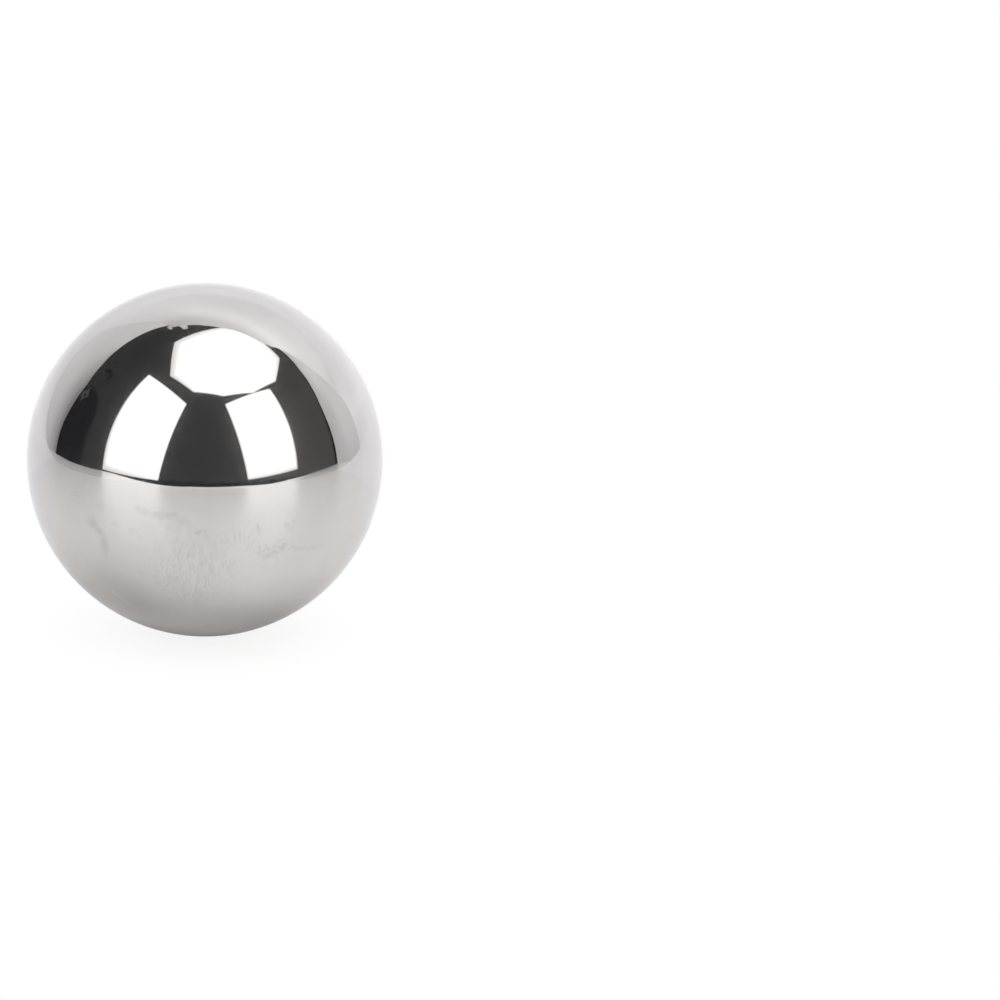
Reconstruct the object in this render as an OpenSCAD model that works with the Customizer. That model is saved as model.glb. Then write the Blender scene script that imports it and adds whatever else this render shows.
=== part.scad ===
/* [Ball] */
// Diameter of the solid steel ball, in millimetres
ball_d = 60; // [10:0.5:100]

/* [Hidden] */
// Segments round the equator: the solid is a true sphere at any count above 12
ball_segments = 180;
// Mirror-polished steel, a cool light grey
steel_colour = [0.76, 0.77, 0.78];

// One solid ball, ground and lapped all over, with no seam, flat or hole.
// The origin is at its centre, so it touches a table at z = -ball_d / 2.
module ball() {
    color(steel_colour)
        sphere(d = ball_d, $fn = ball_segments);
}

ball();
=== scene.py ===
import bpy
import math
from mathutils import Euler, Matrix, Vector


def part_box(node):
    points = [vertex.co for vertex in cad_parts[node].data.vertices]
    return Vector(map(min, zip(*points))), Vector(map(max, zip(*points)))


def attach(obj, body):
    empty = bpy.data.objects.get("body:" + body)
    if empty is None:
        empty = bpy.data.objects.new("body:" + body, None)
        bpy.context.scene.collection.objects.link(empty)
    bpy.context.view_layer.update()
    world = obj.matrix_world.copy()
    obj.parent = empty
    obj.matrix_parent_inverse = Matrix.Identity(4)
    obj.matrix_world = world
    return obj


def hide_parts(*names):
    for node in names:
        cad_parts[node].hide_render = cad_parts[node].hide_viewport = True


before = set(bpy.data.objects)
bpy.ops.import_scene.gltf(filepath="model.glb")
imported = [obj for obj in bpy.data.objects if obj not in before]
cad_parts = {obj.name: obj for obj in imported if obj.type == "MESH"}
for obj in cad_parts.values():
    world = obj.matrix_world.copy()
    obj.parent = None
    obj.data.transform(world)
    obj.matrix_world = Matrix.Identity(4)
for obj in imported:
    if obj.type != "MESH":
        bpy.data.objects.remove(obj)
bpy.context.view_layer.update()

lowCorner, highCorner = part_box("ball")
ballRadius = min(high - low for low, high in zip(lowCorner, highCorner)) / 2
tableZ = -ballRadius
print("frame loaded, ball radius", round(ballRadius * 1000, 3), "mm")


def hexToLinear(hexColour):
    # sRGB hex to the linear RGBA that the shaders take
    channels = [int(hexColour[i:i + 2], 16) / 255 for i in (1, 3, 5)]
    linear = [c / 12.92 if c <= 0.04045 else ((c + 0.055) / 1.055) ** 2.4 for c in channels]
    return (*linear, 1)


plainWhite = hexToLinear("#ffffff")


def addNode(tree, kind, settings=None, inputs=None):
    # settings are the node's own fields; an input is a fixed value, a socket, or a node's first output
    node = tree.nodes.new(kind)
    for field, value in (settings or {}).items():
        setattr(node, field, value)
    for socket, value in (inputs or {}).items():
        if isinstance(value, bpy.types.Node):
            value = value.outputs[0]
        if isinstance(value, bpy.types.NodeSocket):
            tree.links.new(value, node.inputs[socket])
        else:
            node.inputs[socket].default_value = value
    return node


def span(stretch):
    # where a node begins and ends a fade, as its inputs
    low, high = stretch
    return {"From Min": low, "From Max": high}


def newMaterial(name):
    material = bpy.data.materials.new(name)
    material.use_nodes = True
    material.node_tree.nodes.clear()
    return material, material.node_tree


def meshObject(name, points, faces, smooth=False):
    mesh = bpy.data.meshes.new(name)
    mesh.from_pydata(points, [], faces)
    mesh.polygons.foreach_set("use_smooth", [smooth] * len(mesh.polygons))
    mesh.update()
    piece = bpy.data.objects.new(name, mesh)
    bpy.context.scene.collection.objects.link(piece)
    return piece


cameraSetup = {
    "lens": 100.0,
    "sensor": 36.0,
    "place": (0.0, -0.4604, 0.1138),
    "heading": 6.26,  # degrees to the right of +Y
    "pitch": -14.49,
    "roll": 2.88,
    "clip": (0.01, 50.0),
}


def addCamera(setup):
    data = bpy.data.cameras.new("camera")
    data.lens = setup["lens"]
    data.sensor_width = setup["sensor"]
    data.clip_start, data.clip_end = setup["clip"]
    camera = bpy.data.objects.new("camera", data)
    turn = Euler((0, 0, -math.radians(setup["heading"]))).to_matrix()
    tilt = Euler((math.radians(90 + setup["pitch"]), 0, 0)).to_matrix()
    roll = Euler((0, 0, math.radians(setup["roll"]))).to_matrix()
    camera.matrix_world = (turn @ tilt @ roll).to_4x4()
    camera.location = setup["place"]
    bpy.context.scene.collection.objects.link(camera)
    bpy.context.scene.camera = camera


addCamera(cameraSetup)
print("camera placed")

# The ball. A mark sits at an azimuth and elevation seen from the middle, in degrees, with azimuth 0
# facing -Y. Its size is millimetres on the surface, and turn is the long side's angle from level.
# Strength is how much film it leaves, and core is how far out it stays full, as a share of its half size.
# The patterns' sizes are in millimetres too, and a span is the stretch of a pattern's values that it fades
# in over.
steelBall = {
    "cells": 120,  # squares along each side of the cube net that the sphere is blown from
    "netGap": 0.004,  # gap between the squares of the flat net
    "metal": "#d1cfcd",
    "filmed": "#b2b0ae",  # the metal under a film of skin oil
    "roughness": 0.03,
    "filmRoughness": 0.1,
    "scratchWide": 0.02,  # lapping scratches, far too fine to part: together they give lights a faint glow
    "scratchSpan": (0.695, 0.715),
    "scratchRoughness": 0.22,
    "hazeSize": 3.2,
    "hazeSpan": (0.3, 0.7),
    "hazeStrength": 0.13,
    "blotSize": 1.1,
    "blotSpan": (0.32, 0.68),
    "betweenBlots": 0.25,  # the film left there, as a share of a blot's
    "loopSpan": (0.025, 0.12),
    "betweenLoops": 0.2,
    "rimSize": 1.25,
    "rimSpan": (0.3, 0.7),
    "rimRagged": 0.35,  # how far a mark's rim wanders, as a share of its half size
    "rimFull": 0.45,  # the core of a mark that names none
    "rimGone": 1.3,  # where a mark has faded out
    "smears": [
        {"at": (-18.7, -3.3), "size": (2.9, 1.5), "turn": -18, "strength": 0.42},
        {"at": (-12.6, -4.2), "size": (5.3, 1.4), "turn": 2, "strength": 0.42},
        {"at": (-6.7, -5.5), "size": (3.4, 1.3), "turn": -24, "strength": 0.38},
        {"at": (-33.3, -4.0), "size": (2.6, 1.2), "turn": -12, "strength": 0.25},
        {"at": (-1.6, -8.9), "size": (2.0, 0.7), "turn": 20, "strength": 0.6},
        {"at": (0.4, -9.0), "size": (1.3, 0.6), "turn": -61, "strength": 0.7},
        {"at": (1.5, -11.3), "size": (2.4, 0.8), "turn": -61, "strength": 0.35},
        {"at": (-28.8, -8.8), "size": (1.7, 1.0), "turn": 4, "strength": 0.3},
        {"at": (-23.0, -10.2), "size": (1.3, 1.0), "turn": -12, "strength": 0.3},
        {"at": (-20.5, -11.5), "size": (1.2, 1.0), "turn": -27, "strength": 0.3},
        {"at": (27.2, -8.2), "size": (2.5, 1.3), "turn": -37, "strength": 0.35},
        {"at": (29.3, -7.2), "size": (1.5, 0.6), "turn": -44, "strength": 0.5},
        {"at": (16.9, -7.9), "size": (1.6, 0.6), "turn": -74, "strength": 0.65},
        {"at": (34.5, -16.6), "size": (8.0, 1.1), "turn": -9, "strength": 0.3},
        {"at": (3.0, -22.5), "size": (3.9, 0.9), "turn": -78, "strength": 0.4},
        {"at": (5.4, -22.7), "size": (1.9, 0.7), "turn": 79, "strength": 0.4},
        {"at": (-21.8, -25.0), "size": (1.5, 1.1), "turn": -53, "strength": 0.35},
    ],
    "strokes": [
        {"at": (-37.6, -10.1), "size": (3.0, 2.4), "turn": -23, "strength": 0.5, "core": 0.1},
        {"at": (-34.9, -12.4), "size": (3.6, 1.9), "turn": -35, "strength": 0.48, "core": 0.1},
        {"at": (-33.9, -17.1), "size": (6.2, 2.1), "turn": 80, "strength": 0.5, "core": 0.1},
    ],
    "films": [  # broad and even
        {"at": (-29.5, -36.5), "size": (17.0, 11.0), "turn": -42, "strength": 0.42, "core": 0.1},
        {"at": (-23.0, -22.0), "size": (16.0, 14.0), "turn": 0, "strength": 0.14, "core": 0.1},
    ],
    "scribbles": [
        {"at": (19.9, -16.4), "size": (4.6, 2.9), "turn": -18, "strength": 0.4},
        {"at": (25.0, -14.9), "size": (3.8, 2.6), "turn": 18, "strength": 0.5},
    ],
    "fans": [  # their lines, so many to a full turn, would meet at this place along and across the mark
        {"at": (11.7, -11.2), "size": (7.0, 4.4), "turn": -4, "strength": 0.32,
         "meet": (0.4, -4.4), "lines": 34},
    ],
    "fanBend": 0.42,
    "fanSpan": (-0.4, 0.9),
    "prints": [
        {"at": (-148.0, 14.0), "size": (14.0, 10.0), "turn": 62, "strength": 0.34},
        {"at": (96.0, -14.0), "size": (13.0, 10.0), "turn": 108, "strength": 0.34},
    ],
    "ridgeGap": 0.62,  # a real ridge is 0.45 mm, drawn a little coarser so that it shows
    "ridgeSpan": (0.3, 0.7),
    "ridgeBend": 6.0,
    "ridgeStretch": (1.2, 0.9, 1.2),
    "ridgeCentre": 0.48,  # from the mark's middle to where they turn, as a share of its length
    "wipes": [
        {"at": (-5.4, -23.5), "size": (15.0, 15.0), "turn": 86, "strength": 0.46},
        {"at": (-40.2, 0.4), "size": (8.0, 4.0), "turn": 30, "strength": 0.3},
        {"at": (140.0, -25.0), "size": (20.0, 13.0), "turn": -60, "strength": 0.5},
        {"at": (-96.0, -24.0), "size": (18.0, 12.0), "turn": 75, "strength": 0.5},
    ],
    "streakWide": 0.5,
    "streakLong": 2.2,
    "streakBend": 1.4,
    "streakSpan": (0.42, 0.66),
    "cleanLines": [
        {"at": (-2.2, -18.3), "size": (5.6, 0.42), "turn": 88},
        {"at": (-3.3, -28.6), "size": (7.4, 0.42), "turn": 81},
        {"at": (-12.8, -22.2), "size": (5.0, 0.36), "turn": 79},
        {"at": (-35.7, -39.2), "size": (5.6, 0.85), "turn": -53},
    ],
    "scatterSize": 7.0,
    "scatterSpan": (0.54, 0.7),
    "scatterStrength": 0.34,
    "cleanSide": (0.0, -0.97, 0.24),  # the scattered smudges keep away from it
    "cleanSpan": (0.0, 0.35),
}


def sphereFromCube(name, radius, cells, gap):
    # six square grids pushed out to the sphere, with even cells and no poles
    points = []
    faces = []
    places = []
    known = {}

    def pointNumber(direction):
        key = tuple(round(c, 6) for c in direction)
        if key not in known:
            known[key] = len(points)
            points.append(direction * radius)
        return known[key]

    steps = [math.tan((2 * i / cells - 1) * math.pi / 4) for i in range(cells + 1)]
    for side in range(6):
        axis, sign = side // 2, 1 - 2 * (side % 2)
        out = Vector((0, 0, 0))
        out[axis] = sign
        aside = Vector((0, 0, 0))
        aside[(axis + 1) % 3] = 1
        across = out.cross(aside)
        grid = [[pointNumber((out + aside * a + across * b).normalized()) for b in steps] for a in steps]
        left, low = (side % 3) / 3, (side // 3) / 2  # this side's place in the three by two net
        for i in range(cells):
            for j in range(cells):
                for di, dj in ((0, 0), (1, 0), (1, 1), (0, 1)):
                    places.append((left + gap + (1 / 3 - 2 * gap) * (i + di) / cells,
                                   low + gap + (1 / 2 - 2 * gap) * (j + dj) / cells))
                faces.append((grid[i][j], grid[i + 1][j], grid[i + 1][j + 1], grid[i][j + 1]))
    piece = meshObject(name, points, faces, smooth=True)
    net = piece.data.uv_layers.new(name="OFBake")
    net.data.foreach_set("uv", [c for place in places for c in place])
    return piece


def combined(tree, operation, layers):
    # one layer from any number: the strongest of them with MAXIMUM, or their product with MULTIPLY
    top = layers[0]
    for layer in layers[1:]:
        top = addNode(tree, "ShaderNodeMath", {"operation": operation}, {0: top, 1: layer})
    return top


def outwardAt(azimuth, elevation):
    # the direction from the ball's middle at these angles in degrees
    azimuth, elevation = math.radians(azimuth), math.radians(elevation)
    return Vector((math.sin(azimuth) * math.cos(elevation), -math.cos(azimuth) * math.cos(elevation),
                   math.sin(elevation)))


def overMark(tree, millimetres, mark, scale, shift=(0, 0)):
    # position measured from the mark's middle, along its long side, across it and outward, over the scale
    azimuth, elevation = mark["at"]
    outward = outwardAt(azimuth, elevation)
    level = outwardAt(azimuth + 90, 0)
    turn = math.radians(mark["turn"])
    longSide = level * math.cos(turn) + outward.cross(level) * math.sin(turn)
    axes = Matrix((longSide, outward.cross(longSide), outward)).transposed()
    middle = axes @ Vector((*shift, ballRadius * 1000))
    return addNode(tree, "ShaderNodeMapping", {"vector_type": "TEXTURE"}, {
        "Vector": millimetres, "Location": middle, "Rotation": axes.to_euler(), "Scale": scale,
    })


def markMask(tree, millimetres, ragged, mark):
    # full in the middle of the mark, fading out over a ragged rim
    half = (mark["size"][0] / 2, mark["size"][1] / 2, mark["size"][0] / 2)
    away = addNode(tree, "ShaderNodeVectorMath", {"operation": "LENGTH"}, {
        0: overMark(tree, millimetres, mark, half),
    })
    rough = addNode(tree, "ShaderNodeMath", {"operation": "ADD"}, {0: away.outputs["Value"], 1: ragged})
    full = mark.get("core", steelBall["rimFull"])
    return addNode(tree, "ShaderNodeMapRange", {"interpolation_type": "SMOOTHSTEP"}, {
        "Value": rough, **span((full, steelBall["rimGone"])),
        "To Min": mark.get("strength", 1.0), "To Max": 0.0,
    })


def fanRidges(tree, millimetres, grain, look, mark):
    # ridges of a fingertip that slipped: nearly straight lines that would meet below the mark
    fromMeet = addNode(tree, "ShaderNodeSeparateXYZ", {}, {
        0: overMark(tree, millimetres, mark, (1, 1, 1), mark["meet"]),
    })
    angle = addNode(tree, "ShaderNodeMath", {"operation": "ARCTAN2"}, {
        0: fromMeet.outputs["X"], 1: fromMeet.outputs["Y"],
    })
    bent = addNode(tree, "ShaderNodeMath", {"operation": "MULTIPLY_ADD"}, {
        0: grain, 1: look["fanBend"], 2: angle,
    })
    wave = addNode(tree, "ShaderNodeMath", {"operation": "SINE"}, {
        0: combined(tree, "MULTIPLY", [bent, mark["lines"]]),
    })
    return addNode(tree, "ShaderNodeMapRange", {"interpolation_type": "SMOOTHSTEP"}, {
        "Value": wave, **span(look["fanSpan"]),
    })


def printRidges(tree, millimetres, look, mark):
    # loops of a fingerprint, which turn round a point near one end of the mark
    centre = (mark["size"][0] * look["ridgeCentre"], 0)
    perUnit = 20  # radians that a wave texture turns through in one unit
    swirl = addNode(tree, "ShaderNodeTexWave", {"wave_type": "RINGS", "rings_direction": "SPHERICAL"}, {
        "Vector": overMark(tree, millimetres, mark, look["ridgeStretch"], centre),
        "Scale": math.tau / (perUnit * look["ridgeGap"]), "Distortion": look["ridgeBend"],
        "Detail": 2.0, "Detail Scale": 0.3, "Detail Roughness": 0.5,
    })
    return addNode(tree, "ShaderNodeMapRange", {"interpolation_type": "SMOOTHSTEP"}, {
        "Value": swirl.outputs["Fac"], **span(look["ridgeSpan"]),
    })


def wipeStreaks(tree, millimetres, look, mark):
    # fine streaks that a cloth drew out along the mark
    long, wide = look["streakLong"], look["streakWide"]
    streaks = addNode(tree, "ShaderNodeTexNoise", {}, {
        "Vector": overMark(tree, millimetres, mark, (long, wide, long)),
        "Scale": 1.0, "Detail": 3.0, "Roughness": 0.6, "Distortion": look["streakBend"],
    })
    return addNode(tree, "ShaderNodeMapRange", {}, {"Value": streaks, **span(look["streakSpan"])})


def farSmudges(tree, place, millimetres, look):
    # smudges scattered over the far sides
    patches = addNode(tree, "ShaderNodeTexNoise", {}, {
        "Vector": millimetres, "Scale": 1 / look["scatterSize"], "Detail": 4.0, "Roughness": 0.55,
    })
    sparse = addNode(tree, "ShaderNodeMapRange", {"interpolation_type": "SMOOTHSTEP"}, {
        "Value": patches, **span(look["scatterSpan"]), "To Max": look["scatterStrength"],
    })
    facing = addNode(tree, "ShaderNodeVectorMath", {"operation": "DOT_PRODUCT"}, {
        0: place.outputs["Object"], 1: Vector(look["cleanSide"]) / ballRadius,
    })
    farSide = addNode(tree, "ShaderNodeMapRange", {"interpolation_type": "SMOOTHSTEP"}, {
        "Value": facing.outputs["Value"], **span(look["cleanSpan"]), "To Min": 1.0, "To Max": 0.0,
    })
    return combined(tree, "MULTIPLY", [sparse, farSide])


def filmOfHandling(tree, place, millimetres, look):
    # how much film lies on the metal, from none to a full cover
    grain = addNode(tree, "ShaderNodeTexNoise", {}, {
        "Vector": millimetres, "Scale": 1 / look["rimSize"], "Detail": 3.0, "Roughness": 0.6,
    })
    ragged = addNode(tree, "ShaderNodeMapRange", {}, {
        "Value": grain, **span(look["rimSpan"]), "To Min": -look["rimRagged"], "To Max": look["rimRagged"],
    })
    mottle = addNode(tree, "ShaderNodeTexNoise", {}, {
        "Vector": millimetres, "Scale": 1 / look["blotSize"], "Detail": 2.0, "Roughness": 0.5,
    })
    blots = addNode(tree, "ShaderNodeMapRange", {"interpolation_type": "SMOOTHSTEP"}, {
        "Value": mottle, **span(look["blotSpan"]), "To Min": look["betweenBlots"],
    })
    layers = []
    for mark in look["smears"]:
        layers.append(combined(tree, "MULTIPLY", [markMask(tree, millimetres, ragged, mark), blots]))
    for mark in look["strokes"]:
        layers.append(markMask(tree, millimetres, ragged, mark))
    for mark in look["films"]:
        layers.append(markMask(tree, millimetres, 0.0, mark))

    # thin loops where the film has drawn together
    offMiddle = addNode(tree, "ShaderNodeMath", {"operation": "SUBTRACT"}, {0: mottle, 1: 0.5})
    loops = addNode(tree, "ShaderNodeMapRange", {"interpolation_type": "SMOOTHSTEP"}, {
        "Value": addNode(tree, "ShaderNodeMath", {"operation": "ABSOLUTE"}, {0: offMiddle}),
        **span(look["loopSpan"]), "To Min": 1.0, "To Max": look["betweenLoops"],
    })
    for mark in look["scribbles"]:
        layers.append(combined(tree, "MULTIPLY", [markMask(tree, millimetres, ragged, mark), loops]))

    for mark in look["fans"]:
        ridges = fanRidges(tree, millimetres, grain, look, mark)
        mask = markMask(tree, millimetres, ragged, mark)
        layers.append(combined(tree, "MULTIPLY", [mask, ridges, blots]))
    for mark in look["prints"]:
        ridges = printRidges(tree, millimetres, look, mark)
        mask = markMask(tree, millimetres, ragged, mark)
        layers.append(combined(tree, "MULTIPLY", [mask, ridges, blots]))
    for mark in look["wipes"]:
        streaks = wipeStreaks(tree, millimetres, look, mark)
        mask = markMask(tree, millimetres, ragged, mark)
        layers.append(combined(tree, "MULTIPLY", [mask, streaks]))
    layers.append(farSmudges(tree, place, millimetres, look))

    cloud = addNode(tree, "ShaderNodeTexNoise", {}, {
        "Vector": millimetres, "Scale": 1 / look["hazeSize"], "Detail": 5.0, "Roughness": 0.6,
    })
    haze = addNode(tree, "ShaderNodeMapRange", {}, {
        "Value": cloud, **span(look["hazeSpan"]), "To Max": look["hazeStrength"],
    })
    marked = combined(tree, "MAXIMUM", layers)
    soiled = addNode(tree, "ShaderNodeMath", {"operation": "ADD"}, {0: marked, 1: haze})

    # lines where the film was rubbed away
    lines = [markMask(tree, millimetres, ragged, mark) for mark in look["cleanLines"]]
    rubbed = combined(tree, "MAXIMUM", lines)
    kept = addNode(tree, "ShaderNodeMath", {"operation": "SUBTRACT"}, {0: 1.0, 1: rubbed})
    return combined(tree, "MULTIPLY", [soiled, kept])


def polishedSteel(look):
    # Hardened chrome steel, ground and lapped to a mirror: a bright neutral metal with hard-edged
    # reflections, dimmed here and there by finger marks, wiping streaks and a thin haze.
    material, tree = newMaterial("polishedSteel")
    place = addNode(tree, "ShaderNodeTexCoord")
    millimetres = addNode(tree, "ShaderNodeVectorMath", {"operation": "SCALE"}, {
        0: place.outputs["Object"], "Scale": 1000.0,
    })
    film = filmOfHandling(tree, place, millimetres, look)
    smooth = addNode(tree, "ShaderNodeMix", {"data_type": "FLOAT"}, {
        0: film, 2: look["roughness"], 3: look["filmRoughness"],
    })
    lapping = addNode(tree, "ShaderNodeTexNoise", {}, {
        "Vector": millimetres, "Scale": 1 / look["scratchWide"], "Detail": 0.0,
    })
    scratches = addNode(tree, "ShaderNodeMapRange", {}, {
        "Value": lapping, **span(look["scratchSpan"]), "To Max": look["scratchRoughness"],
    })
    roughness = combined(tree, "MAXIMUM", [smooth, scratches])
    tone = addNode(tree, "ShaderNodeMix", {"data_type": "RGBA"}, {
        0: film, 6: hexToLinear(look["metal"]), 7: hexToLinear(look["filmed"]),
    })
    shader = addNode(tree, "ShaderNodeBsdfPrincipled", {}, {
        "Base Color": tone.outputs[2], "Metallic": 1.0, "Roughness": roughness,
    })
    addNode(tree, "ShaderNodeOutputMaterial", {}, {"Surface": shader})
    return material


ball = sphereFromCube("polished_ball", ballRadius, steelBall["cells"], steelBall["netGap"])
ball.data.materials.append(polishedSteel(steelBall))
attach(ball, "root")
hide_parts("ball")
print("ball made,", len(ball.data.polygons), "faces")


def onlyInReflections(piece, bouncesLight=False):
    # a studio piece that the metal mirrors, and that neither blocks a view nor casts a shadow
    piece.visible_camera = False
    piece.visible_diffuse = bouncesLight
    piece.visible_shadow = False


def turnedPoint(turn, u, v, z):
    # u runs along a piece of the studio and v away from the front; turn is in degrees
    angle = math.radians(turn)
    return (u * math.cos(angle) - v * math.sin(angle), u * math.sin(angle) + v * math.cos(angle), z)


def along(stops, where):
    # the value at a place along a list of (place, value) stops, eased between them
    for (low, lowValue), (high, highValue) in zip(stops, stops[1:]):
        if where < high:
            part = max(0.0, (where - low) / (high - low))
            return lowValue + (highValue - lowValue) * part * part * (3 - 2 * part)
    return stops[-1][1]


def addGrid(name, rows, material, bouncesLight=True):
    # rows of (point, shade) joined into a smooth grid that is never seen directly
    across = len(rows[0])
    points = [point for row in rows for point, shade in row]
    faces = [(i * across + j, i * across + j + 1, (i + 1) * across + j + 1, (i + 1) * across + j)
             for i in range(len(rows) - 1) for j in range(across - 1)]
    piece = meshObject(name, points, faces, smooth=True)
    shades = [shade for row in rows for point, shade in row]
    piece.data.attributes.new("shade", "FLOAT", "POINT").data.foreach_set("value", shades)
    piece.data.materials.append(material)
    onlyInReflections(piece, bouncesLight)


def whiteSurface(look):
    # The studio's white board, laminate, paper and plastic, with a soft gloss; some carry painted light and
    # shade in their colour, and the sheet a painted cool tint and a painted glow.
    material, tree = newMaterial(look["name"])
    place = addNode(tree, "ShaderNodeNewGeometry")
    shader = addNode(tree, "ShaderNodeBsdfPrincipled", {}, {"Roughness": look["roughness"]})
    colour = hexToLinear(look["colour"])
    if look.get("shaded"):
        # painted light and shade: each point of the mesh carries how much light it catches, which scales its
        # colour
        shade = addNode(tree, "ShaderNodeAttribute", {"attribute_name": "shade"})
        shaded = addNode(tree, "ShaderNodeVectorMath", {"operation": "SCALE"}, {
            0: colour[:3], "Scale": shade.outputs["Fac"],
        })
        tree.links.new(shaded.outputs[0], shader.inputs["Base Color"])
    elif "coolColour" in look:
        # painted light: a cooler tint of light behind the ball and to its left
        where = addNode(tree, "ShaderNodeSeparateXYZ", {}, {0: place.outputs["Position"]})
        behind = addNode(tree, "ShaderNodeMapRange", {"interpolation_type": "SMOOTHSTEP"}, {
            "Value": where.outputs["Y"], **span(look["coolBehind"]),
        })
        leftward = addNode(tree, "ShaderNodeMapRange", {"interpolation_type": "SMOOTHSTEP"}, {
            "Value": where.outputs["X"], **span(look["coolLeft"]),
            "To Min": look["coolLeftShare"], "To Max": 0.0,
        })
        tint = addNode(tree, "ShaderNodeMix", {"data_type": "RGBA"}, {
            0: combined(tree, "MAXIMUM", [behind, leftward]), 6: colour, 7: hexToLinear(look["coolColour"]),
        })
        tree.links.new(tint.outputs[2], shader.inputs["Base Color"])
    else:
        shader.inputs["Base Color"].default_value = colour
    surface = shader
    if "paintedGlowSpan" in look:
        # painted light: a faint glow on the paper under the ball lightens the shade where it rests
        under = addNode(tree, "ShaderNodeVectorMath", {"operation": "DISTANCE"}, {
            0: place.outputs["Position"], 1: look["paintedGlowFrom"],
        })
        paintedGlow = addNode(tree, "ShaderNodeMapRange", {"interpolation_type": "SMOOTHSTEP"}, {
            "Value": under.outputs["Value"], **span(look["paintedGlowSpan"]),
            "To Min": look["paintedGlowStrength"], "To Max": 0.0,
        })
        shader.inputs["Emission Color"].default_value = plainWhite
        tree.links.new(paintedGlow.outputs[0], shader.inputs["Emission Strength"])
    if "fade" in look:
        # seen directly, the floor fades to plain white away from the ball and keeps its shadow near it
        away = addNode(tree, "ShaderNodeVectorMath", {"operation": "LENGTH"}, {0: place.outputs["Position"]})
        fade = addNode(tree, "ShaderNodeMapRange", {"interpolation_type": "SMOOTHSTEP"}, {
            "Value": away.outputs["Value"], **span(look["fade"]), "To Min": look["whiteNear"], "To Max": 1.0,
        })
        rays = addNode(tree, "ShaderNodeLightPath")
        white = addNode(tree, "ShaderNodeEmission", {}, {"Color": plainWhite, "Strength": 1.0})
        surface = addNode(tree, "ShaderNodeMixShader", {}, {
            0: combined(tree, "MULTIPLY", [fade, rays.outputs["Is Camera Ray"]]), 1: shader, 2: white,
        })
    addNode(tree, "ShaderNodeOutputMaterial", {}, {"Surface": surface})
    return material


def outOfTheLight(name, tone):
    # Felt, nylon, rubber, plastic or paint that no light reaches, drawn as a dim glow: an even tone of
    # painted light and shade, with no gloss or form.
    material, tree = newMaterial(name)
    dark = addNode(tree, "ShaderNodeEmission", {}, {"Color": hexToLinear(tone), "Strength": 1.0})
    addNode(tree, "ShaderNodeOutputMaterial", {}, {"Surface": dark})
    return material


table = {
    "name": "whiteLaminate",  # pressed laminate: flat and pale, mirroring softly at a low angle
    "colour": "#f0eeef",
    "roughness": 0.24,
    "fade": (0.024, 0.043),  # metres from the ball's middle, from whiteNear to plain white
    "whiteNear": 0.8,
    "turn": -2.36,
    "sides": (-0.93, 1.98),
    # where the white ends in front, a little uneven, along the table
    "front": [
        (-0.93, -0.6), (-0.65, -0.575), (-0.5, -0.515), (-0.38, -0.485), (-0.2, -0.45), (-0.12, -0.48),
        (-0.05, -0.555), (0.12, -0.575), (0.27, -0.585), (0.34, -0.54), (0.43, -0.475), (0.6, -0.49),
        (0.78, -0.535), (1.0, -0.5),
    ],
    "frontSteps": 60,
    "corners": [  # the back left corner is rounded
        (1.98, 0.195), (-0.36, 0.195), (-0.45, 0.166), (-0.51, 0.12), (-0.55, 0.06), (-0.58, 0.0),
        (-0.625, -0.06), (-0.675, -0.13), (-0.72, -0.21), (-0.81, -0.32), (-0.9, -0.44),
    ],
}


def frontSpots(left, right):
    steps = table["frontSteps"]
    return [left + (right - left) * i / steps for i in range(steps + 1)]


def frontEdge(left, right, height, back=0.0):
    # points along the table's uneven front, or a little back from it
    return [turnedPoint(table["turn"], u, along(table["front"], u) + back, height)
            for u in frontSpots(left, right)]


def addTable():
    points = frontEdge(*table["sides"], tableZ)
    points += [turnedPoint(table["turn"], u, v, tableZ) for u, v in table["corners"]]
    piece = meshObject("table", points, [tuple(range(len(points)))])
    piece.data.materials.append(whiteSurface(table))


# A painted glare of both softboxes on the table's front edge: it glows, though it is no lamp.
paintedSheen = {
    "colour": "#fffefd",
    "strength": 1.45,
    "lift": 0.0006,
    # how much of the light it carries, along the table's front edge and back from it
    "along": [
        (-0.66, 0.0), (-0.5, 0.8), (-0.22, 0.9), (-0.13, 0.3), (0.1, 0.3), (0.24, 0.9), (0.7, 0.8),
        (1.0, 0.3),
    ],
    "back": [(0.0, 1.0), (0.04, 0.8), (0.1, 0.5), (0.15, 0.3), (0.22, 0.0)],
}


def paintedGlare():
    # Painted glare: a glowing strip for what smooth laminate and coated paper reflect at a low angle,
    # thinning out to nothing.
    material, tree = newMaterial("paintedGlare")
    shade = addNode(tree, "ShaderNodeAttribute", {"attribute_name": "shade"})
    glow = addNode(tree, "ShaderNodeEmission", {}, {
        "Color": hexToLinear(paintedSheen["colour"]), "Strength": paintedSheen["strength"],
    })
    clear = addNode(tree, "ShaderNodeBsdfTransparent")
    surface = addNode(tree, "ShaderNodeMixShader", {}, {0: shade.outputs["Fac"], 1: clear, 2: glow})
    addNode(tree, "ShaderNodeOutputMaterial", {}, {"Surface": surface})
    return material


def addSheen():
    # painted reflection: both softboxes glance off the paper and laminate just inside the table's front edge
    ends = paintedSheen["along"][0][0], paintedSheen["along"][-1][0]
    rows = []
    for back, part in paintedSheen["back"]:
        points = frontEdge(*ends, tableZ + paintedSheen["lift"], back)
        shades = [part * along(paintedSheen["along"], u) for u in frontSpots(*ends)]
        rows.append(list(zip(points, shades)))
    addGrid("paintedTableSheen", rows, paintedGlare(), bouncesLight=False)


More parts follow.
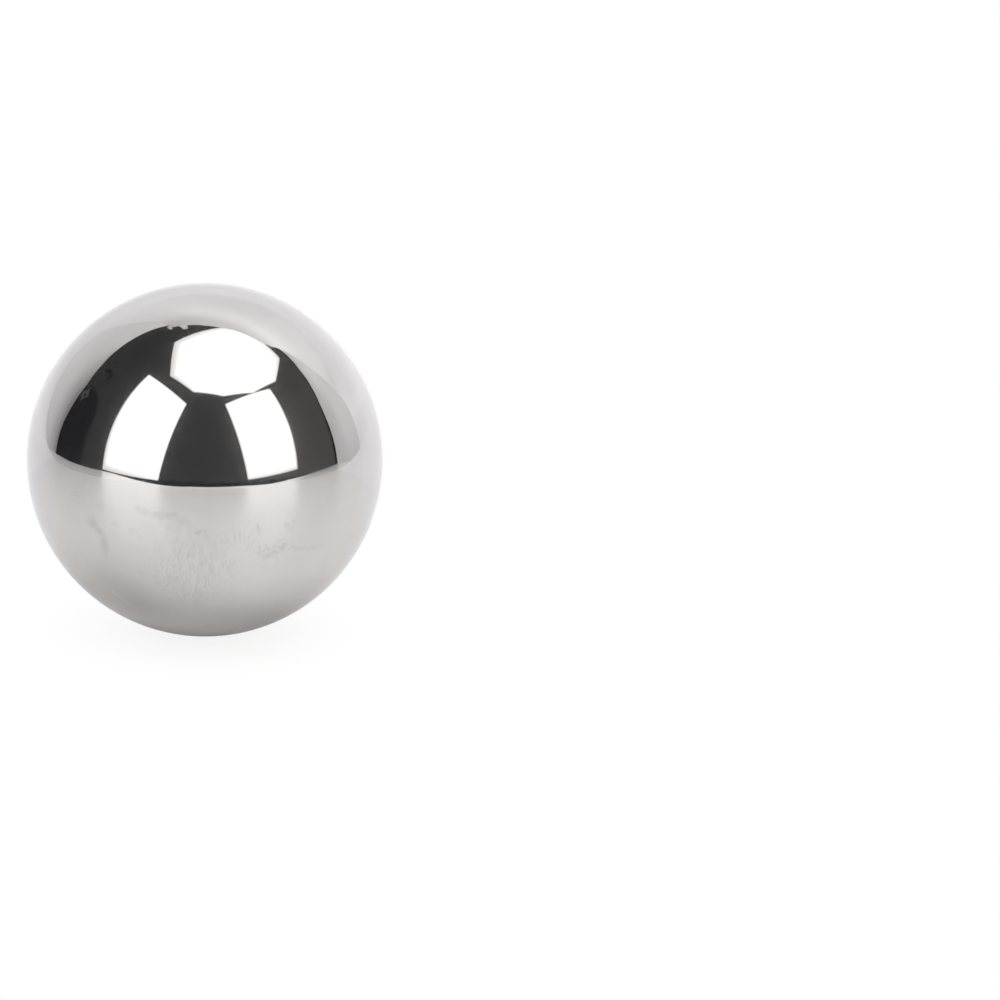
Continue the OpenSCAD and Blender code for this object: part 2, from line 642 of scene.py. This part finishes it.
# The sheet of paper, where it lies on the table and sweeps up behind the ball.
sheet = {
    "name": "coatedPaper",  # heavy coated paper: smooth and matt, with the faintest gloss
    "colour": "#eae8e6",
    "coolColour": "#e8e9ed",  # painted light: a cooler tint of light behind the ball and to its left, away from the warmer light in front
    "coolBehind": (-0.04, 0.1),  # along Y, from none to all
    "coolLeft": (-0.3, -0.12),  # along X, from coolLeftShare to none
    "coolLeftShare": 0.45,
    "roughness": 0.38,
    "fade": table["fade"],
    "whiteNear": table["whiteNear"],
    # a painted glow that lightens the paper's shade under the ball
    "paintedGlowFrom": (-0.003, 0.0, 0.0),
    "paintedGlowSpan": (0.0315, 0.036),  # from near the ball's middle, so 10 to 20 mm from where it rests
    "paintedGlowStrength": 0.08,
    "turn": -6.73,
    "sides": (-0.34, 0.546),
    "waist": (-0.305, 0.03),  # its left edge is drawn in a little beside the ball
    "frontSides": (-0.352, 0.518),  # where its sides meet the table's front, along the table
    "frontInset": 0.004,
    "lift": 0.0001,
    "rise": 0.073,  # where it leaves the table behind the ball
    "bend": 0.285,
    "hangTo": (0.2248, 0.7234),  # back and up, what its hanging part leans towards
    # low down, its right end is drawn back against the wall
    "drawnTo": 0.376,
    "drawnUp": [(0.0, 0.0), (0.12, 1.0), (0.36, 1.0), (0.5, 0.0)],  # how far, by metres up the sheet
    "drawnAlong": [(0.1, 0.0), (0.546, 1.0)],
    "grid": (36, 96),
}
# The same sheet where it hangs. Its sides and length are in metres up the sheet from where it leaves the
# table, and the rest is painted light and shade: how much light its curls would catch, scaling its colour.
hanging = {
    "name": "curledPaperPaintedShade",  # the same paper, with slow bands of painted light and shade where its curl catches light
    "colour": "#eaeaec",
    "roughness": 0.36,
    "shaded": True,
    "leftSide": [
        (0.0, -0.34), (0.05, -0.358), (0.1, -0.364), (0.2, -0.362), (0.26, -0.345), (0.32, -0.3145),
        (0.5, -0.3145), (0.85, -0.24),
    ],
    "rightSide": [(0.0, 0.546), (0.36, 0.546), (0.48, 0.556), (0.6, 0.535), (0.9, 0.372)],
    "length": [
        (-0.27, 0.89), (-0.24, 0.907), (-0.1, 0.914), (-0.03, 0.928), (0.035, 0.93), (0.3, 0.94),
        (0.372, 0.907),
    ],
    "tilt": 0.3,  # how steeply its painted bands of light and shade rise to the right
    "curlRight": [
        (0.08, 1.0), (0.16, 1.08), (0.21, 1.03), (0.33, 0.95), (0.45, 1.03), (0.54, 1.03), (0.62, 1.08),
        (0.68, 1.15), (0.73, 1.1), (0.77, 0.98), (0.81, 0.85), (0.85, 0.76),
    ],
    "curlLeft": [
        (0.2, 1.02), (0.33, 0.98), (0.45, 1.0), (0.54, 1.0), (0.65, 0.94), (0.73, 0.9), (0.8, 0.85),
        (0.87, 0.72),
    ],
    "leftToRight": [(-0.25, 0.0), (-0.03, 1.0)],  # where curlLeft gives way to curlRight
    "across": [(-0.3, 1.06), (-0.12, 1.02), (0.05, 1.0), (0.25, 1.04), (0.42, 1.09), (0.55, 1.15)],
}


def sheetPoint(u, step, forward=0.0):
    # step is metres up the sheet from where it leaves the table, forward is towards the ball
    bend, rise = sheet["bend"], sheet["rise"]
    foot = tableZ + sheet["lift"]
    quarter = bend * math.pi / 2
    if step < quarter:
        v, z = rise + bend * math.sin(step / bend), foot + bend * (1 - math.cos(step / bend))
    else:
        top = Vector((rise + bend, foot + bend))
        v, z = top + (Vector(sheet["hangTo"]) - top).normalized() * (step - quarter)
    v += (sheet["drawnTo"] - v) * along(sheet["drawnUp"], step) * along(sheet["drawnAlong"], u)
    return turnedPoint(sheet["turn"], u, v - forward, z)


def addSheet():
    # one sheet that lies on the table, sweeps up behind the ball and hangs from a bar, leaning forward
    foot = tableZ + sheet["lift"]
    left, right = sheet["sides"]
    flat = frontEdge(*sheet["frontSides"], foot, sheet["frontInset"])
    for u, v in ((right, sheet["rise"]), (left, sheet["rise"]), sheet["waist"]):
        flat.append(turnedPoint(sheet["turn"], u, v, foot))
    piece = meshObject("sheetOnTable", flat, [tuple(range(len(flat)))])
    piece.data.materials.append(whiteSurface(sheet))

    across, up = sheet["grid"]
    rows = []
    for j in range(up + 1):
        row = []
        for i in range(across + 1):
            # the side edges and the top edge are not straight, so a few passes settle each place
            reach = 0.9
            for again in range(3):
                step = reach * j / up
                low, high = along(hanging["leftSide"], step), along(hanging["rightSide"], step)
                u = low + (high - low) * i / across
                reach = along(hanging["length"], u)
            height = step - hanging["tilt"] * u
            part = along(hanging["leftToRight"], u)
            onLeft, onRight = along(hanging["curlLeft"], height), along(hanging["curlRight"], height)
            shade = (1 - part) * onLeft + part * onRight
            row.append((sheetPoint(u, step), shade * along(hanging["across"], u)))
        rows.append(row)
    addGrid("sheetBehind", rows, whiteSurface(hanging))


clips = {
    "name": "mouldedAbs",  # moulded white ABS: a slight gloss
    "colour": "#e4e4e4",
    "roughness": 0.35,
    # each one's place along the sheet, half its width, and its foot and tip up the sheet
    "places": [(-0.247, 0.008, 0.88, 0.94), (-0.168, 0.023, 0.88, 0.985)],
    "taper": (1.0, 0.75, 0.6),  # at its foot, middle and tip
    "halfThick": 0.01,
}


def addClips():
    # two spring clips hold the sheet to its bar, their handles tapering above its edge
    corners = ((-1, -1), (1, -1), (1, 1), (-1, 1))
    for number, (u, halfWide, low, high) in enumerate(clips["places"]):
        points = []
        for step, size in zip((low, (low + high) / 2, high), clips["taper"]):
            points += [sheetPoint(u + halfWide * size * a, step, clips["halfThick"] * size * b)
                       for a, b in corners]
        faces = [(0, 3, 2, 1), (8, 9, 10, 11)]
        faces += [(ring + k, ring + (k + 1) % 4, ring + (k + 1) % 4 + 4, ring + k + 4)
                  for ring in (0, 4) for k in range(4)]
        piece = meshObject("springClip" + str(number), points, faces)
        piece.data.materials.append(whiteSurface(clips))
        onlyInReflections(piece, bouncesLight=True)


# The board behind the sheet, with painted light and shade, and the black felt behind that: a dark band round
# the board that paints the shade along its edges.
wall = {
    "name": "foamBoard",  # paper-faced foam board: dead matt
    "colour": "#eceaed",
    "roughness": 0.7,
    "shaded": True,
    "turn": -8.19,
    "deep": 0.395,  # how far back it stands
    "low": -0.6,
    "leftSide": [
        (-0.6, -1.89), (0.1, -1.85), (0.3, -1.89), (0.45, -2.01), (0.6, -2.07), (0.8, -2.04), (1.02, -1.98),
    ],
    "top": [
        (-2.05, 1.0), (-1.85, 1.02), (-1.4, 1.03), (-1.1, 1.0), (-0.7, 0.985), (-0.55, 0.98), (-0.4, 1.0),
        (0.4, 0.96), (0.55, 0.95), (0.64, 0.928), (0.8, 0.925), (0.88, 0.95), (1.2, 0.918), (1.38, 0.898),
        (1.6, 0.868), (1.67, 0.848), (1.74, 0.805), (1.8, 0.76), (1.865, 0.7), (1.9, 0.61), (1.95, 0.53),
        (1.99, 0.39), (2.01, 0.25), (2.04, 0.0),
    ],
    # painted light and shade: how much light it catches, along it and with height
    "shades": [
        (-2.0, 0.54), (-1.75, 0.6), (-1.3, 0.88), (-0.8, 1.06), (-0.45, 1.03), (0.5, 0.88), (0.62, 0.9),
        (0.85, 0.98), (1.1, 0.98), (1.6, 1.16), (1.9, 1.3),
    ],
    "upward": [(0.45, 1.0), (0.7, 1.1), (0.95, 1.22)],
    "edgeShadeBand": {"wider": 1.24, "taller": 0.08, "behind": 0.01},  # wider by this factor, the rest in metres
    "edgeShadeTone": "#1a1a1a",
    "cells": (200, 16),
}


def addBoard(name, material, wider=1.0, taller=0.0, behind=0.0):
    across, up = wall["cells"]
    right = wall["top"][-1][0]
    rows = []
    for j in range(up + 1):
        row = []
        for i in range(across + 1):
            # the left end and the top are not straight, so a few passes settle each place
            z = 0.0
            for again in range(3):
                left = along(wall["leftSide"], z)
                u = left + (right - left) * i / across
                z = wall["low"] + (along(wall["top"], u) + taller - wall["low"]) * j / up
            shade = along(wall["shades"], u) * along(wall["upward"], z)
            row.append((turnedPoint(wall["turn"], u * wider, wall["deep"] + behind, z), shade))
        rows.append(row)
    addGrid(name, rows, material)


def addWall():
    addBoard("backWall", whiteSurface(wall))
    # painted shade: an unlit dark band behind the board's edges
    addBoard("wallEdgeShade", outOfTheLight("feltPaintedEdgeShade", wall["edgeShadeTone"]), **wall["edgeShadeBand"])


room = {
    "half": 4.0,  # of its width and its length
    "low": -1.0,
    "high": 3.0,
    # painted light: the room's glow, darker to the left
    "leftTone": "#454546",
    "rightTone": "#5c5b5b",
    "frontToBack": (-2.0, 1.5),  # along Y, over which its painted light dims to backShare
    "backShare": 0.7,
    # a painted shadow: the floor in front lies in the table's shadow, below these heights and in front of
    # these places along Y
    "shadowHeights": (-0.12, 0.02),
    "shadowPlaces": (-2.2, -1.4),
    "shadowShare": 0.3,
    "doorTone": "#2e2e31",
    "doorway": (0.66, 0.0),  # the middle of its round-topped opening, along the left wall and upward
    "doorHalf": (0.0, 0.0, 1.33),  # from the middle to where the rounding begins
    "doorCorner": (0.83, 1.11),  # the rounding's radius, from inside its soft edge to outside
    "wallSkin": 0.01,  # what lies within this of the left wall's plane is on it
}


def doorwayMask(tree, place, where):
    # painted shade: a darker patch for an open doorway with a round top into an unlit room, soft at its
    # edges
    leftWall = -room["half"]
    onLeft = addNode(tree, "ShaderNodeMath", {"operation": "LESS_THAN"}, {
        0: where.outputs["X"], 1: leftWall + room["wallSkin"],
    })
    fromDoor = addNode(tree, "ShaderNodeVectorMath", {"operation": "SUBTRACT"}, {
        0: place.outputs["Position"], 1: (leftWall, *room["doorway"]),
    })
    outward = addNode(tree, "ShaderNodeVectorMath", {"operation": "ABSOLUTE"}, {0: fromDoor})
    fromCorner = addNode(tree, "ShaderNodeVectorMath", {"operation": "SUBTRACT"}, {
        0: outward, 1: room["doorHalf"],
    })
    rounded = addNode(tree, "ShaderNodeVectorMath", {"operation": "MAXIMUM"}, {0: fromCorner, 1: (0, 0, 0)})
    outside = addNode(tree, "ShaderNodeVectorMath", {"operation": "LENGTH"}, {0: rounded})
    inside = addNode(tree, "ShaderNodeMapRange", {"interpolation_type": "SMOOTHSTEP"}, {
        "Value": outside.outputs["Value"], **span(room["doorCorner"]), "To Min": 1.0, "To Max": 0.0,
    })
    return combined(tree, "MULTIPLY", [onLeft, inside])


def plasterWithPaintedLight():
    # Dark painted plaster far from the lights, all painted light and shade: a dim glow, darker to the left
    # and towards the back, with a painted shadow on the floor in front and a darker painted doorway.
    material, tree = newMaterial("plasterWithPaintedLight")
    place = addNode(tree, "ShaderNodeNewGeometry")
    where = addNode(tree, "ShaderNodeSeparateXYZ", {}, {0: place.outputs["Position"]})
    side = addNode(tree, "ShaderNodeMapRange", {}, {
        "Value": where.outputs["X"], **span((0.0, room["half"])),
    })
    tone = addNode(tree, "ShaderNodeMix", {"data_type": "RGBA"}, {
        0: side.outputs["Result"], 6: hexToLinear(room["leftTone"]), 7: hexToLinear(room["rightTone"]),
    })
    backward = addNode(tree, "ShaderNodeMapRange", {}, {
        "Value": where.outputs["Y"], **span(room["frontToBack"]), "To Min": 1.0, "To Max": room["backShare"],
    })
    floorward = addNode(tree, "ShaderNodeMapRange", {"interpolation_type": "SMOOTHSTEP"}, {
        "Value": where.outputs["Z"], **span(room["shadowHeights"]), "To Min": 1.0, "To Max": 0.0,
    })
    frontward = addNode(tree, "ShaderNodeMapRange", {"interpolation_type": "SMOOTHSTEP"}, {
        "Value": where.outputs["Y"], **span(room["shadowPlaces"]), "To Min": 1.0, "To Max": 0.0,
    })
    shadowed = addNode(tree, "ShaderNodeMapRange", {}, {
        "Value": combined(tree, "MULTIPLY", [floorward, frontward]),
        "To Min": 1.0, "To Max": room["shadowShare"],
    })
    strength = combined(tree, "MULTIPLY", [backward, shadowed])
    dimmed = addNode(tree, "ShaderNodeMix", {"data_type": "RGBA"}, {
        0: doorwayMask(tree, place, where), 6: tone.outputs[2], 7: hexToLinear(room["doorTone"]),
    })
    glow = addNode(tree, "ShaderNodeEmission", {}, {"Color": dimmed.outputs[2], "Strength": strength})
    addNode(tree, "ShaderNodeOutputMaterial", {}, {"Surface": glow})
    return material


def addRoom():
    half = room["half"]
    points = [(x, y, z) for z in (room["low"], room["high"])
              for x, y in ((-half, -half), (half, -half), (half, half), (-half, half))]
    faces = [(0, 1, 2, 3), (4, 7, 6, 5), (0, 4, 5, 1), (1, 5, 6, 2), (2, 6, 7, 3), (3, 7, 4, 0)]
    piece = meshObject("darkRoom", points, faces)
    piece.data.materials.append(plasterWithPaintedLight())
    onlyInReflections(piece)


# Things that stand on the studio's left side. Each follows a line of azimuths and elevations seen from
# the ball, and its width and how far away it is are in metres.
# their tones are painted light and shade, glowing dimly
oddments = {
    "cable": {
        "material": "blackRubber", "tone": "#292929", "width": 0.065, "away": 2.2,
        "line": [(-106.6, 37.9), (-103.9, 39.4), (-100.2, 40.0), (-97.8, 39.2), (-97.0, 37.4)],
    },
    "lampHead": {
        "material": "greyAbs", "tone": "#555555", "width": 0.15, "away": 2.2,
        "line": [(-106.4, 21.8), (-105.4, 23.4), (-103.6, 25.4), (-102.6, 26.4)],
    },
    "lampKnob": {
        "material": "blackAbs", "tone": "#2c2c2c", "width": 0.07, "away": 2.15,
        "line": [(-104.6, 23.6), (-103.6, 24.4)],
    },
}


def addOddments():
    # bands that face the ball
    for name, thing in oddments.items():
        spots = [outwardAt(*place) * thing["away"] for place in thing["line"]]
        points = []
        for number, spot in enumerate(spots):
            onward = spots[min(number + 1, len(spots) - 1)] - spots[max(number - 1, 0)]
            aside = onward.cross(spot).normalized() * thing["width"] / 2
            points += [spot - aside, spot + aside]
        faces = [(2 * i, 2 * i + 1, 2 * i + 3, 2 * i + 2) for i in range(len(spots) - 1)]
        piece = meshObject(name, points, faces)
        piece.data.materials.append(outOfTheLight(thing["material"], thing["tone"]))
        onlyInReflections(piece)


# Three soft lights of the usual sizes: two of 80 by 120 cm at the front and one eight-sided one overhead.
# A cloth's corners run round it from its lower left one, and none is pulled quite square. Its rims say how
# far out in the cloth's dimmer rim each corner lies.
lights = {
    "clothGlow": 2.3,
    "clothEdge": 1.15,
    "rimSpan": (0.86, 1.1),  # where the cloth begins to dim, and where it is down to clothEdge
    "lampRadiance": 1.44,  # a matt panel gives pi times this for each square metre, in watts
    "leftBox": {
        "centre": (-0.668, -0.690, 0.555),
        "turn": (72.71, -0.08, -60.78),
        "corners": [(-0.4, -0.598), (0.396, -0.608), (0.405, 0.588), (-0.4, 0.583)],
        "rims": [1.12, 1.02, 1.02, 1.01],
    },
    "rightBox": {
        "centre": (0.747, -0.831, 0.599),
        "turn": (68.17, -3.66, 41.14),
        "corners": [(-0.403, -0.598), (0.405, -0.591), (0.397, 0.585), (-0.402, 0.592)],
        "rims": [1.06, 1.08, 1.02, 1.03],
    },
    "overhead": {
        "centre": (0.214, -0.276, 0.992),
        "turn": (3.51, 21.18, 117.62),
        "corners": [(0.561, 0.227), (0.226, 0.552), (-0.234, 0.562), (-0.565, 0.238), (-0.562, -0.23),
                    (-0.232, -0.554), (0.226, -0.552), (0.561, -0.228)],
        "rims": [1.1, 1.1, 1.05, 1.03, 1.02, 1.04, 1.08, 1.04],
    },
    "boxSize": (0.8, 1.19),
    "overheadSize": 1.14,
    "hem": 0.01,  # of black nylon below each softbox, its tone also painting the shade its lower edge hangs in
    "hemTone": "#1a1a1a",
}


def diffuserNylon():
    # Thin white woven nylon lit from behind: an even glow, dimmer along its rim.
    material, tree = newMaterial("diffuserNylon")
    rim = addNode(tree, "ShaderNodeAttribute", {"attribute_name": "towardsRim"})
    strength = addNode(tree, "ShaderNodeMapRange", {"interpolation_type": "SMOOTHSTEP"}, {
        "Value": rim.outputs["Fac"], **span(lights["rimSpan"]),
        "To Min": lights["clothGlow"], "To Max": lights["clothEdge"],
    })
    glow = addNode(tree, "ShaderNodeEmission", {}, {"Color": plainWhite, "Strength": strength})
    addNode(tree, "ShaderNodeOutputMaterial", {}, {"Surface": glow})
    return material


def addLight(name, shape, size, watts, cloth, nylon):
    # the cloth is a fan of triangles from its middle, which only the metal sees; the lamp gives the light
    setup = lights[name]
    corners = setup["corners"]
    count = len(corners)
    panel = meshObject(name, [(0, 0, 0)] + [(x, y, 0) for x, y in corners],
                       [(0, 1 + i, 1 + (i + 1) % count) for i in range(count)])
    towardsRim = panel.data.attributes.new("towardsRim", "FLOAT", "POINT")
    towardsRim.data.foreach_set("value", [0.0] + setup["rims"])
    panel.data.materials.append(cloth)
    pieces = [panel]
    if nylon:
        (left, leftLow), (right, rightLow) = corners[:2]
        drop = lights["hem"]
        hem = meshObject(name + "Hem", [
            (left, leftLow, 0), (right, rightLow, 0), (right, rightLow - drop, 0), (left, leftLow - drop, 0),
        ], [(0, 3, 2, 1)])
        hem.data.materials.append(nylon)
        pieces.append(hem)
    for piece in pieces:
        onlyInReflections(piece)
    lamp = bpy.data.lights.new(name + "Lamp", "AREA")
    lamp.shape = shape
    lamp.size = size[0]
    if shape == "RECTANGLE":
        lamp.size_y = size[1]
    lamp.energy = watts
    lampObject = bpy.data.objects.new(name + "Lamp", lamp)
    lampObject.visible_glossy = False
    lampObject.visible_camera = False
    bpy.context.scene.collection.objects.link(lampObject)
    for item in (*pieces, lampObject):
        item.matrix_world = Euler([math.radians(a) for a in setup["turn"]]).to_matrix().to_4x4()
        item.location = setup["centre"]


def addLights():
    cloth = diffuserNylon()
    nylon = outOfTheLight("blackNylon", lights["hemTone"])
    width, height = lights["boxSize"]
    watts = math.pi * lights["lampRadiance"] * width * height
    for name in ("leftBox", "rightBox"):
        addLight(name, "RECTANGLE", (width, height), watts, cloth, nylon)
    across = lights["overheadSize"]
    watts = (math.pi * across / 2) ** 2 * lights["lampRadiance"]
    addLight("overhead", "DISK", (across, 0), watts, cloth, None)


addTable()
addSheen()
addSheet()
addClips()
addWall()
print("table, sheet and board placed")
addRoom()
addOddments()
print("room placed")
addLights()
print("lights placed")

daylight = {
    "toCamera": 1.0,  # also what metal and glass see; 1 is plain white
    "toRest": 0.6,
}


def addWorld():
    world = bpy.data.worlds.new("studioWorld")
    bpy.context.scene.world = world
    world.use_nodes = True
    sky = world.node_tree
    sky.nodes.clear()
    rays = addNode(sky, "ShaderNodeLightPath")
    kinds = ("Is Camera Ray", "Is Glossy Ray", "Is Transmission Ray")
    seen = combined(sky, "MAXIMUM", [rays.outputs[kind] for kind in kinds])
    strength = addNode(sky, "ShaderNodeMapRange", {}, {
        "Value": seen, "To Min": daylight["toRest"], "To Max": daylight["toCamera"],
    })
    white = addNode(sky, "ShaderNodeBackground", {}, {"Color": plainWhite, "Strength": strength})
    addNode(sky, "ShaderNodeOutputWorld", {}, {"Surface": white})


addWorld()
bpy.context.scene.view_settings.view_transform = "Standard"
print("daylight set")
